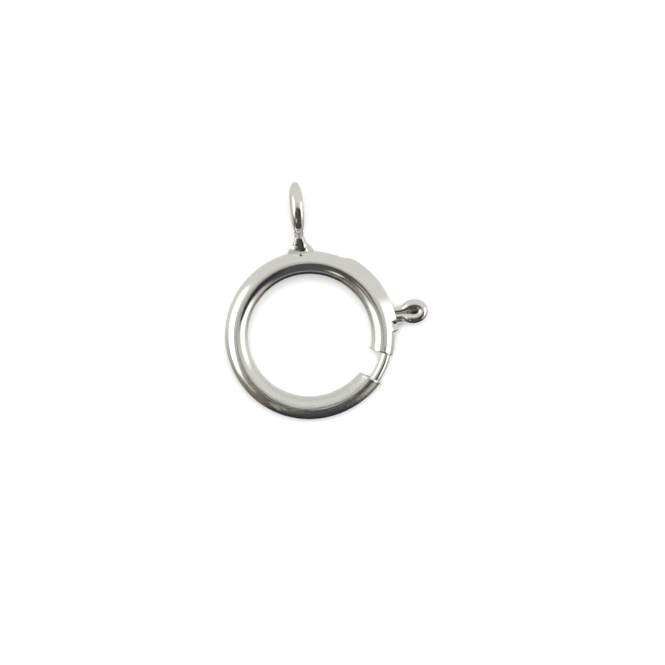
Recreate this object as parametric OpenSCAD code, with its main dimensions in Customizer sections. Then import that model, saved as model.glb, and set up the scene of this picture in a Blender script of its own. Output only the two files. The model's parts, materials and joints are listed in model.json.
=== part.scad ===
// Spring ring clasp, lying as it rests on a flat surface.
//
// The clasp is laid out flat first: the ring's centre at zero, its axis up, the pierced lug and the end loop
// towards +Y and the trigger on the +X side. Angles run counter-clockwise from +X. resting() then tips this
// layout until the end loop's lowest point and the far side of the ring both touch z = 0.

/* [Ring] */
// Radius of the ring's centre line
ring_r = 7.78; // [6.5:0.02:12]
// Outside radius of the hollow tube
tube_r = 1.22; // [1.05:0.01:1.6]
// Thickness of the tube's wall
tube_wall = 0.12; // [0.08:0.01:0.25]
// Angle of the cut above the gap
gap_top_a = -18; // [-24:1:-14]
// Angle that the gap spans
gap_span = 24; // [15:1:30]
// Angle from which the tube's upper end runs out from the circle
top_run_a = 60; // [57:1:75]
// Angle from which its lower end runs out
low_run_a = -82; // [-95:1:-72]

/* [Bolt] */
// Radius of the sliding bolt
bolt_r = 0.55; // [0.45:0.01:0.65]
// Running clearance between the bolt and the bore
bolt_clear = 0.025; // [0.02:0.005:0.08]
// Distance by which the bolt's arc is centred off the ring's centre, towards the gap
bolt_out = 0.125; // [0:0.005:0.16]
// Angle by which the closed bolt enters the tube below the gap
bolt_entry = 5; // [2:0.5:10]
// Length of the bolt's tapered tip
tip_l = 0.2; // [0.1:0.05:0.4]
// Radius at the end of the tip
tip_r = 0.42; // [0.25:0.01:0.45]
// Length of bolt behind the trigger's legs
heel_l = 0.5; // [0.3:0.1:1]
// Angle through which the trigger draws the bolt back
travel = 40; // [32:1:44]

/* [Trigger] */
// Angle at which the trigger's neck leaves the tube
trigger_a = 8.3; // [6:0.1:12]
// Lean of the neck against the ring's radius there
neck_lean = -6.3; // [-10:0.1:0]
// Radius of each of the neck's two strands
strand_r = 0.34; // [0.25:0.01:0.36]
// Distance between the strands' centres
strand_pitch = 0.66; // [0.5:0.01:0.8]
// Clearance of the legs in the bolt's cross slot
leg_clear = 0.03; // [0.02:0.005:0.08]
// Distance from the tube's outside to the centre of the head
head_reach = 2.68; // [2.4:0.02:4]
// Radius of the crest of the round head
head_crest_r = 0.72; // [0.65:0.01:0.9]
// Radius of the head's thick rim
head_rim_r = 0.57; // [0.4:0.01:0.62]
// Thickness of the web that closes the head's dimple
head_web = 0.4; // [0.2:0.05:0.8]
// Length over which the strands thicken and part before the head
head_taper = 1.2; // [0.8:0.05:1.3]

/* [Guide slot] */
// Clearance of the neck in the guide slot
slot_clear = 0.04; // [0.03:0.01:0.1]
// Clearance above and below the neck in the guide slot
slot_clear_z = 0.06; // [0.04:0.01:0.1]
// Distance that the turned-out lips reach beyond the tube
lip_out = 0.37; // [0.2:0.01:0.5]
// Thickness of the lips' edges
lip_edge = 0.12; // [0.08:0.01:0.2]
// Angle around the tube at which the lips leave it
lip_root_a = 48; // [44:1:52]
// Angle of lip before the slot
lip_lead = 7.2; // [4:0.1:10]
// Angle of lip after the slot
lip_tail = 8.8; // [7:0.1:14]
// Angle over which the lips run out into the tube
lip_ramp = 6; // [4:0.5:6.5]
// Thickness of the stop tongue beside the neck
tongue_t = 0.4; // [0.3:0.05:0.6]
// Distance that the stop tongue reaches beyond the tube
tongue_out = 1.15; // [0.6:0.05:1.3]
// Height of the stop tongue
tongue_h = 0.9; // [0.6:0.05:1.1]

/* [Spring] */
// Radius of the spring's wire
spring_wire_r = 0.12; // [0.08:0.01:0.14]
// Clearance of the spring in the bore
spring_clear = 0.06; // [0.05:0.01:0.15]
// Number of turns
spring_turns = 20; // [12:1:24]
// Angle of the wall that the spring pushes against
seat_a = 112; // [104:1:130]
// Thickness of that wall
seat_t = 0.4; // [0.2:0.05:0.8]
// Clearance at each end of the spring
spring_end_clear = 0.04; // [0.03:0.01:0.1]

/* [Lug] */
// Distance from the tube's outside to the wire in the lug's eye
lug_reach = 1.94; // [1.85:0.02:2.6]
// Thickness of the lug
lug_t = 0.7; // [0.6:0.05:1]
// Width of the lug's foot where it meets the tube
lug_foot_w = 2.9; // [2:0.05:3.4]
// Width of the lug's waist
lug_waist_w = 1.44; // [1.1:0.02:1.6]
// Height of the waist above the tube
lug_waist_h = 0.87; // [0.6:0.01:1]
// Width of metal around the eye
lug_rim = 0.13; // [0.1:0.01:0.3]
// Radius of the eye
eye_r = 0.38; // [0.38:0.01:0.45]

/* [End loop] */
// Outside radius of the end loop
loop_out_r = 2.91; // [2.6:0.01:4]
// Radius of the loop's wire at its two thick sides
loop_thick_r = 0.65; // [0.5:0.01:0.8]
// Radius of the loop's wire in the eye and opposite it
loop_thin_r = 0.28; // [0.2:0.01:0.29]
// How far from the eye the wire thickens: the smaller, the sooner
loop_spread = 0.25; // [0.2:0.05:1]
// Angle by which the loop swings to the side in the eye
loop_swing = -1.5; // [-8:0.5:8]

/* [Rest] */
// Sideways lean towards the trigger at which the clasp balances
rest_lean = 2.05; // [0:0.05:3.5]

/* [Hidden] */
$fn = 96;
// Silver and spring steel as they show
silver = [0.86, 0.85, 0.83];
steel = [0.62, 0.62, 0.64];
// Amount by which a cut runs past the face it opens
past = 0.2;
// Tube, gap and bolt
outer_r = ring_r + tube_r;
bore_r = tube_r - tube_wall;
gap_low_a = gap_top_a - gap_span;
gap_mid_a = gap_top_a - gap_span / 2;
bolt_centre = bolt_out * [cos(gap_mid_a), sin(gap_mid_a)];
bolt_tip_a = gap_low_a - bolt_entry;
// Neck: its direction, the distance of its line from the ring's centre, and half its width
neck_dir = trigger_a + neck_lean;
neck_off = outer_r * sin(-neck_lean);
neck_half = strand_pitch / 2 + strand_r;
// Neck drawn back: turned about the bolt's centre, not the ring's
open_foot = turned(outer_r * [cos(trigger_a), sin(trigger_a)], travel);
open_dir = neck_dir + travel;
open_off = cos(open_dir) * open_foot.y - sin(open_dir) * open_foot.x;
// Guide slot and lips
lip_r = outer_r + lip_out;
slot_half = strand_r + slot_clear_z;
slot_in_r = ring_r + 0.9 * bore_r;
slot_side = neck_half + slot_clear;
slot_a0 = min(neck_angle(-slot_side, lip_r), neck_angle(-slot_side, slot_in_r));
slot_a1 = max(open_angle(slot_side, lip_r), open_angle(slot_side, slot_in_r));
lip_a0 = slot_a0 - lip_lead;
lip_a1 = slot_a1 + lip_tail;
// Bolt's arc: it runs along the bore's outer wall where the guide slot ends, and stands further out at the gap
bolt_limit_r = ring_r + bore_r - bolt_clear - bolt_r;
bolt_arc_r = sqrt(
    bolt_limit_r * bolt_limit_r + bolt_out * bolt_out
    - 2 * bolt_limit_r * bolt_out * cos(slot_a1 - gap_mid_a)
);
bolt_neck_r = bolt_line_r(trigger_a);
bolt_heel_a = neck_angle(neck_half + leg_clear, bolt_neck_r) + arc_angle(heel_l, bolt_neck_r);
// Ends of the tube: each leaves the circle on a wider arc, by as much as the bolt inside it stands out
top_wider = wider_by(ring_r + bolt_line_r(slot_a0) - bolt_limit_r, top_run_a - slot_a0);
low_wider = wider_by(ring_r + bolt_line_r(bolt_tip_a) - bolt_limit_r, bolt_tip_a - low_run_a);
// Spring
spring_r = bore_r - spring_clear - spring_wire_r;
spring_a0 = bolt_heel_a + arc_angle(spring_end_clear + spring_wire_r, ring_r);
spring_a1 = seat_a - arc_angle(spring_end_clear + spring_wire_r, ring_r);
SPRING_SIDES = 6;
SPRING_STEPS = 12;
// Lug and loop
eye_y = outer_r + lug_reach;
eye_shift = 0.035;
// Depth of the lug's toes below the tube's outside
lug_toe = 0.1;
loop_arm = loop_out_r - loop_thin_r;
loop_x = -loop_arm * sin(loop_swing);
loop_y = eye_y + loop_arm * cos(loop_swing);
LOOP_SIDES = 12;
LOOP_STEPS = 40;
// Head of the trigger in the flat layout
head_x = outer_r * cos(trigger_a) + head_reach * cos(neck_dir);
head_y = outer_r * sin(trigger_a) + head_reach * sin(neck_dir);
head_out_r = head_crest_r + head_rim_r;
// Share of the crest's radius before the head's middle at which the strands run into the rim
head_join = 0.2;
// Resting pose: the tilt at which the leaning ring and the loop stand on one level, by the rule that the ring
// reaches ring_r * norm([up_x, up_y]) + tube_r below its centre and the loop loop_out_r below its own
up_x = -sin(rest_lean);
rest_gap = loop_out_r - tube_r - loop_x * up_x;
rest_square = loop_y * loop_y - ring_r * ring_r;
rest_root = sqrt(pow(rest_gap * loop_y, 2) - rest_square * (rest_gap * rest_gap - pow(ring_r * up_x, 2)));
up_y = (rest_gap * loop_y - rest_root) / rest_square;
tilt = asin(up_y / cos(rest_lean));
lift = tube_r + ring_r * norm([up_x, up_y]);
// Middle of the bounding box
left_x = -ring_r * cos(rest_lean) - tube_r;
right_x = head_x * cos(rest_lean) + head_y * sin(rest_lean) * sin(tilt) + head_out_r;
low_y = -ring_r * cos(tilt) - tube_r;
high_y = loop_y * cos(tilt) + loop_out_r;
mid_x = (left_x + right_x) / 2;
mid_y = (low_y + high_y) / 2;

// Angle that an arc of length l spans at radius r
function arc_angle(l, r) = l / r * 180 / PI;

// Point p of the bolt or trigger after a turn by a about the bolt's centre
function turned(p, a) = bolt_centre + [[cos(a), -sin(a)], [sin(a), cos(a)]] * (p - bolt_centre);

// Angle at radius r of a line beside the neck, off to its counter-clockwise side, at rest and drawn back
function neck_angle(off, r) = neck_dir + asin((neck_off + off) / r);
function open_angle(off, r) = open_dir + asin((open_off + off) / r);

// Distance of the bolt's line from the ring's centre at angle a, and that point's angle about the bolt's centre
function bolt_line_r(a) =
    bolt_out * cos(a - gap_mid_a) + sqrt(pow(bolt_arc_r, 2) - pow(bolt_out * sin(a - gap_mid_a), 2));
function bolt_angle(a) =
    let (p = bolt_line_r(a) * [cos(a), sin(a)] - bolt_centre)
    gap_mid_a + atan2(p.y * cos(gap_mid_a) - p.x * sin(gap_mid_a), p.x * cos(gap_mid_a) + p.y * sin(gap_mid_a));

// How much wider an arc that leaves the circle has to be, to pass at radius r an angle d further on
function wider_by(r, d) = (r * r - ring_r * ring_r) / (2 * (ring_r - r * cos(d)));

// Distance of such an arc from the ring's centre an angle d further on, and that point's angle about its own
function run_r(wider, d) = sqrt(pow(ring_r + wider, 2) - pow(wider * sin(d), 2)) - wider * cos(d);
function run_angle(wider, d) = atan2(run_r(wider, d) * sin(d), run_r(wider, d) * cos(d) + wider);

// Distance of the tube's line from the ring's centre at angle a, from the upper cut to the seat
function tube_line_r(a) = a < top_run_a ? run_r(top_wider, a - top_run_a) : ring_r;

// Round section of a wire: centre c, two directions across it, radius and number of sides
function wire_section(c, across, along, r, sides) =
    [for (k = [0:sides - 1]) c + r * cos(360 * k / sides) * across + r * sin(360 * k / sides) * along];

// Skin over a row of sections that all have as many points
module swept(sections, closed) {
    sides = len(sections[0]);
    rows = len(sections);
    skin = [
        for (i = [0:rows - (closed ? 1 : 2)], k = [0:sides - 1])
            let (j = (i + 1) % rows, l = (k + 1) % sides)
                [i * sides + k, i * sides + l, j * sides + l, j * sides + k]
    ];
    ends = closed ? [] : [[for (k = [sides - 1:-1:0]) k], [for (k = [0:sides - 1]) (rows - 1) * sides + k]];
    polyhedron(points = [for (s = sections) each s], faces = concat(skin, ends), convexity = 10);
}

// Round bar bent about the ring's centre
module bent_bar(path_r, bar_r, a0, a1) {
    rotate([0, 0, a0])
        rotate_extrude(angle = a1 - a0)
            translate([path_r, 0])
                circle(r = bar_r);
}

// Round bar on the arc that leaves the circle at angle from, between the angles a0 and a1
module run_bar(wider, from, bar_r, a0, a1) {
    translate([-wider * cos(from), -wider * sin(from), 0])
        bent_bar(ring_r + wider, bar_r, from + run_angle(wider, a0 - from), from + run_angle(wider, a1 - from));
}

// Round bars along both ends of the ring, as far as an angle extra past the cuts
module end_bars(bar_r, extra) {
    run_bar(top_wider, top_run_a, bar_r, gap_top_a - extra, top_run_a);
    run_bar(low_wider, low_run_a, bar_r, low_run_a, gap_low_a + extra);
}

// Frame of the trigger's neck: the origin where its middle leaves the tube, +X along it
module neck_frame() {
    rotate([0, 0, trigger_a])
        translate([outer_r, 0, 0])
            rotate([0, 0, neck_lean])
                children();
}

// Tips the flat layout into its resting pose, over the middle of the bounding box
module resting() {
    translate([-mid_x, -mid_y, lift])
        rotate([0, rest_lean, 0])
            rotate([tilt, 0, 0])
                children();
}

// Turned-out edges of the guide slot, one above the other, still joined
module lips() {
    root = [tube_r * cos(lip_root_a), tube_r * sin(lip_root_a)];
    edge = [tube_r + lip_out, slot_half + lip_edge];
    sunk = root - 0.2 * (edge - root);
    ramp_from = lip_r * [cos(lip_a1 - lip_ramp), sin(lip_a1 - lip_ramp)];
    ramp_to = (outer_r - tube_wall / 4) * [cos(lip_a1), sin(lip_a1)];
    ramp_dir = atan2(ramp_to.y - ramp_from.y, ramp_to.x - ramp_from.x);
    difference() {
        rotate([0, 0, lip_a0])
            rotate_extrude(angle = lip_a1 - lip_a0)
                translate([ring_r, 0])
                    polygon([sunk, edge, [edge.x, -edge.y], [sunk.x, -sunk.y]]);
        translate([ramp_from.x, ramp_from.y, 0])
            rotate([0, 0, ramp_dir])
                translate([-lip_out, -2 * lip_out, -tube_r])
                    cube([norm(ramp_to - ramp_from) + 3 * lip_out, 2 * lip_out, 2 * tube_r]);
    }
}

// Tongue at the lower end of the slot, against which the neck stops
module stop_tongue() {
    neck_frame()
        translate([-tube_r / 2, -neck_half - slot_clear - tongue_t, -tongue_h / 2])
            cube([tube_r / 2 + tongue_out, tongue_t, tongue_h]);
}

// Slot in which the trigger's neck travels
module guide_slot() {
    rotate([0, 0, slot_a0])
        rotate_extrude(angle = slot_a1 - slot_a0)
            translate([ring_r, -slot_half])
                square([tube_r + lip_out + past, 2 * slot_half]);
}

// Lug soldered to the ring, a plate with a wide foot and a round head
module lug() {
    foot = lug_foot_w / 2;
    waist = lug_waist_w / 2;
    head = eye_r + lug_rim;
    shoulder = eye_y - eye_r;
    linear_extrude(height = lug_t, center = true) {
        polygon([
            [-foot, outer_r - tube_r / 2], [foot, outer_r - tube_r / 2], [foot, outer_r - lug_toe],
            [waist, outer_r + lug_waist_h], [head, shoulder], [head * 0.9, eye_y],
            [-head * 0.9, eye_y], [-head, shoulder], [-waist, outer_r + lug_waist_h], [-foot, outer_r - lug_toe]
        ]);
        translate([0, eye_y + eye_shift])
            circle(r = head);
    }
}

// Hole that holds the end loop
module lug_eye() {
    translate([0, eye_y + eye_shift, 0])
        cylinder(r = eye_r, h = lug_t + 2 * past, center = true);
}

// Hollow ring with its gap, guide slot, lips, stop tongue, spring seat and lug
module ring_body() {
    color(silver)
        resting()
            difference() {
                union() {
                    bent_bar(ring_r, tube_r, low_run_a, top_run_a - 360);
                    end_bars(tube_r, 0);
                    lips();
                    stop_tongue();
                    lug();
                }
                bent_bar(ring_r, bore_r, top_run_a, seat_a);
                bent_bar(ring_r, bore_r, seat_a + arc_angle(seat_t, ring_r), low_run_a + 360);
                end_bars(bore_r, 1);
                guide_slot();
                lug_eye();
            }
}

// Curved bolt that closes the gap, with a cross slot for the trigger's legs
module bolt() {
    color(silver)
        resting()
            difference() {
                translate([bolt_centre.x, bolt_centre.y, 0]) {
                    bent_bar(bolt_arc_r, bolt_r, bolt_angle(bolt_tip_a), bolt_angle(bolt_heel_a));
                    rotate([0, 0, bolt_angle(bolt_tip_a)])
                        translate([bolt_arc_r, 0, 0])
                            rotate([90, 0, 0])
                                cylinder(h = tip_l, r1 = bolt_r, r2 = tip_r);
                }
                neck_frame()
                    translate([-outer_r / 3, -neck_half - leg_clear, -strand_r - leg_clear])
                        cube([2 * outer_r / 3, 2 * (neck_half + leg_clear), 2 * (strand_r + leg_clear)]);
            }
}

// One strand of the trigger: a straight leg that thickens and swings out before the head
module strand(side) {
    leg_in = outer_r - bolt_neck_r + 0.9 * bolt_r;
    straight_l = leg_in + head_reach - head_join * head_crest_r - head_taper;
    part = head_crest_r * sqrt(1 - head_join * head_join) - strand_pitch / 2;
    translate([-leg_in, side * strand_pitch / 2, 0]) {
        rotate([0, 90, 0])
            cylinder(r = strand_r, h = straight_l);
        translate([straight_l, 0, 0])
            rotate([0, 0, side * atan2(part, head_taper)])
                rotate([0, 90, 0])
                    cylinder(r1 = strand_r, r2 = head_rim_r * 0.96, h = norm([part, head_taper]));
    }
}

// Trigger: a wire folded back on itself into a round head with a closed dimple
module trigger() {
    color(silver)
        resting()
            neck_frame() {
                strand(-1);
                strand(1);
                translate([head_reach, 0, 0]) {
                    rotate_extrude()
                        translate([head_crest_r, 0])
                            circle(r = head_rim_r);
                    cylinder(r = head_crest_r * 0.8, h = head_web, center = true);
                    translate([-head_taper, -strand_pitch / 2, -head_web / 2])
                        cube([head_taper, strand_pitch, head_web]);
                }
            }
}

// Section of the coiled wire, a share t of the way along it
function spring_section(t) =
    let (
        turn = 360 * spring_turns * t,
        a = spring_a0 + (spring_a1 - spring_a0) * t,
        out = [cos(a), sin(a), 0],
        across = cos(turn) * out + sin(turn) * [0, 0, 1]
    )
    wire_section(tube_line_r(a) * out + spring_r * across, across, [-sin(a), cos(a), 0], spring_wire_r, SPRING_SIDES);

// Coil spring that lies bent in the bore and pushes the bolt shut
module spring() {
    steps = spring_turns * SPRING_STEPS;
    color(steel)
        resting()
            swept([for (i = [0:steps]) spring_section(i / steps)], false);
}

// Section of the end loop at angle a from the eye's side
function loop_section(a) =
    let (
        swell = (1 + loop_spread) * pow(sin(a), 2) / (pow(sin(a), 2) + loop_spread),
        wire_r = loop_thin_r + (loop_thick_r - loop_thin_r) * swell,
        out = [0, -cos(a), sin(a)]
    )
    wire_section((loop_out_r - wire_r) * out, out, [1, 0, 0], wire_r, LOOP_SIDES);

// End loop, thin in the eye and opposite it and thick at its sides
module end_loop() {
    color(silver)
        resting()
            translate([loop_x, loop_y, 0])
                rotate([0, 0, loop_swing])
                    swept([for (i = [0:LOOP_STEPS - 1]) loop_section(360 * i / LOOP_STEPS)], true);
}

ring_body();
bolt();
trigger();
spring();
end_loop();
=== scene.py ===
"""Spring ring clasp: polished silver surfaces, white table and studio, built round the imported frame.

Shapes are worked out in millimetres in the clasp's flat layout, where the ring's centre is at zero, its axis
is +Z, the lug lies towards +Y and the trigger on the +X side. Angles are degrees about +Z from +X. place()
tips them into the resting pose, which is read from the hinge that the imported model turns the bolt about.
"""

import json
import math

import bmesh
import bpy
import numpy as np
from bpy.props import FloatProperty, FloatVectorProperty, IntProperty, PointerProperty
from bpy.types import Operator, Panel, PropertyGroup
from mathutils import Matrix, Vector


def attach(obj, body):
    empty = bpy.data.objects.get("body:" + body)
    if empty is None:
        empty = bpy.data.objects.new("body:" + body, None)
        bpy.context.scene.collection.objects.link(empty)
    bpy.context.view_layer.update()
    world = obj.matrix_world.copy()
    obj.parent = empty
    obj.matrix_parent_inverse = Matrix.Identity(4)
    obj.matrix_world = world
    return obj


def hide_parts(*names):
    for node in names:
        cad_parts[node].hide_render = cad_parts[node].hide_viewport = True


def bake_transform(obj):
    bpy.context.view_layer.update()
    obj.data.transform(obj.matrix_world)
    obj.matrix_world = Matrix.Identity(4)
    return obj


bl_info = {
    "name": "Spring Ring Clasp",
    "version": (1, 1, 0),
    "blender": (4, 5, 0),
    "location": "3D View > Sidebar > Clasp",
    "description": "Builds the finished surfaces of a spring ring clasp round its packed frame",
    "category": "Object",
}

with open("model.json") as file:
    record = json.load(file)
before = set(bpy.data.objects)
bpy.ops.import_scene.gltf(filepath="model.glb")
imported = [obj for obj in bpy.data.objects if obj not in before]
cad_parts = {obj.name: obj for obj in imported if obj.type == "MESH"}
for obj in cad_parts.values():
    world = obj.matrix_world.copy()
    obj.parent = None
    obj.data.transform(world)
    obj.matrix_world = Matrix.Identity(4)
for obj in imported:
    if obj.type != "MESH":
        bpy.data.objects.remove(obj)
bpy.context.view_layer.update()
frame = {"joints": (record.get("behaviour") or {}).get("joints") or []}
HINGE = np.array(frame["joints"][0]["pos_m"])
HINGE_AXIS = np.array(frame["joints"][0]["axis"]) / np.linalg.norm(frame["joints"][0]["axis"])
TRAVEL = frame["joints"][0]["range_deg"][1]
# Millimetre in metres, and the distance at which points of a mesh are welded
MM = 0.001
WELD = 1e-7
UP = np.array([0.0, 0.0, 1.0])


def resting_turn():
    """Turn of the flat layout: a tilt about X, then a lean about Y, which bring +Z to the hinge's axis."""
    lean = Matrix.Rotation(math.atan2(HINGE_AXIS[0], HINGE_AXIS[2]), 3, "Y")
    tilt = Matrix.Rotation(math.asin(-HINGE_AXIS[1]), 3, "X")
    return np.array(lean @ tilt)


RESTING_TURN = resting_turn()


# Sizes and colours

def size(name, default, description, unit="mm"):
    """A driving size, whose description ends with its unit."""
    return FloatProperty(name=name, default=default, description=f"{description}, {unit}", precision=3)


def angle(name, default, description):
    """A driving angle in degrees of the flat layout."""
    return size(name, default, description, "degrees")


def hex_colour(code):
    """Linear colour of an sRGB hex value such as F2EFEA."""
    parts = [int(code[i:i + 2], 16) / 255 for i in (0, 2, 4)]
    return tuple(p / 12.92 if p <= 0.04045 else ((p + 0.055) / 1.055) ** 2.4 for p in parts)


def colour(name, code, description):
    """A colour that a user may change, given as an sRGB hex value."""
    return FloatVectorProperty(
        name=name, default=hex_colour(code), description=description, subtype="COLOR", size=3, min=0, max=1)


class RingSizes(PropertyGroup):
    """Ring, gap, guide slot, stop tongue and lug."""

    ring_r: size("Ring radius", 7.78, "Radius of the ring's centre line")
    tube_r: size("Tube radius", 1.22, "Outside radius of the tube")
    wall: size("Wall", 0.12, "Thickness of the tube's sheet")
    gap_top: angle("Gap top", -18.0, "Angle of the cut above the gap")
    gap_span: angle("Gap span", 24.0, "Angle that the gap spans")
    top_run: angle("Upper run-out", 60.0, "Angle from which the tube's upper end runs out from the circle")
    low_run: angle("Lower run-out", -82.0, "Angle from which its lower end runs out")
    top_slant: angle("Upper slant", -0.6, "Turn of the upper cut, from the tube's middle to its outside")
    low_slant: angle("Lower slant", 1.5, "Turn of the lower cut, from the tube's middle to its outside")
    mouth: size("Mouth rim", 0.17, "How far the rounded rims reach past the cuts")
    burr: size("Burr", 0.24, "Length of the burr left at one side of each cut")
    slot_clear: size("Slot clearance", 0.04, "Clearance beside the neck in the guide slot")
    slot_clear_z: size("Slot clearance above", 0.06, "Clearance above and below the neck")
    lip_out: size("Lip reach", 0.37, "Distance that the turned-out lips reach beyond the tube")
    lip_root: angle("Lip root", 62.0, "Angle round the tube at which the lips leave it")
    lip_lead: angle("Lip lead", 7.2, "Angle of lip before the slot")
    lip_tail: angle("Lip tail", 8.8, "Angle of lip after the slot")
    tongue_out: size("Tongue reach", 1.3, "Distance that the stop tongue reaches beyond the tube")
    tongue_t: size("Tongue thickness", 0.20, "Thickness of the stop tongue at its root")
    seat_a: angle("Spring seat", 112.0, "Angle of the wall behind the spring")
    seat_t: size("Seat thickness", 0.4, "Thickness of that wall")
    lug_reach: size("Lug reach", 1.94, "Distance from the tube's outside to the wire in the eye")
    eye_r: size("Eye radius", 0.38, "Radius of the lug's eye")
    eye_shift: size("Eye shift", 0.035, "Distance of the eye's middle beyond the wire in it")
    eye_rim: size("Eye rim", 0.13, "Width of metal around the eye")


class MovingSizes(PropertyGroup):
    """Bolt, trigger, spring and end loop."""

    bolt_r: size("Bolt radius", 0.55, "Radius of the sliding bolt")
    bolt_clear: size("Bolt clearance", 0.025, "Clearance between the bolt and the bore")
    bolt_out: size("Bolt shift", 0.125, "Distance of the bolt's arc centre off the ring's, towards the gap")
    bolt_entry: angle("Bolt entry", 5.0, "Angle by which the closed bolt enters the tube below the gap")
    tip_l: size("Tip length", 0.2, "Length of the bolt's tapered tip")
    tip_r: size("Tip radius", 0.42, "Radius at the end of the tip")
    heel_l: size("Heel length", 0.5, "Length of bolt behind the trigger's legs")
    trigger_a: angle("Trigger angle", 8.3, "Angle at which the neck leaves the tube")
    neck_lean: angle("Neck lean", -6.3, "Lean of the neck against the ring's radius")
    strand_r: size("Strand radius", 0.34, "Radius of each of the neck's two strands")
    strand_pitch: size("Strand pitch", 0.66, "Distance between the strands' centres")
    leg_clear: size("Leg clearance", 0.03, "Clearance of the legs in the bolt")
    head_reach: size("Head reach", 2.68, "Distance from the tube's outside to the head's middle")
    head_long: size("Head length", 0.95, "Half length of the head's crest, along the neck")
    head_crest: size("Head crest", 0.72, "Half width of the head's crest")
    head_rim: size("Head rim", 0.57, "Radius of the head's thick rim")
    head_taper: size("Head taper", 1.1, "Length over which the strands thicken and part")
    wire_r: size("Spring wire", 0.12, "Radius of the spring's wire")
    coil_clear: size("Coil clearance", 0.06, "Clearance of the spring in the bore")
    coil_end: size("Coil end clearance", 0.04, "Clearance at each end of the spring")
    turns: IntProperty(name="Turns", default=20, description="Number of turns of the spring")
    loop_out: size("Loop radius", 2.91, "Outside radius of the end loop")
    loop_thick: size("Loop thick wire", 0.65, "Radius of its wire at the two thick sides")
    loop_thin: size("Loop thin wire", 0.28, "Radius of its wire in the eye and opposite it")
    loop_spread: size("Loop spread", 0.25, "How far from the eye the wire thickens", "share")
    loop_egg: size("Loop egg shape", 0.34, "Distance that the loop's sides bulge away from the eye")
    loop_swing: angle("Loop swing", -1.5, "Swing to the side in the eye")


class ClaspFinish(PropertyGroup):
    """Colours of the metals and of what they mirror."""

    silver: colour("Silver", "F4F2EE", "Polished sterling silver")
    solder: colour("Solder", "EFECE5", "Silver at a soldered joint, a little yellower")
    # Painted shade: a dark brownish colour that stands in for the shade in the trigger's pressed hollow
    hollow_shade: colour("Hollow_shade", "6E6750", "Silver in a hollow that polishing doesn't reach")
    steel: colour("Steel", "B2B2B6", "Drawn spring steel")
    table: colour("Table", "F6F6F6", "White table top")
    tent: colour("Tent", "DCDDD9", "Walls of the light tent behind the clasp")
    floor: colour("Floor", "857F79", "The tent's floor near its open side")
    lens: colour("Lens", "C3C2BA", "The grey of the camera's own side, straight above")
    card: colour("Card", "C9C6BF", "Grey edges of the tent beside its open side")
    room: colour("Room", "4E514F", "The unlit room through the tent's open side")
    room_warm: colour("Warm room", "766B65", "Warmer things at both sides of that room")
    room_low: colour("Low room", "32333E", "The room below the table's edge")


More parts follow.
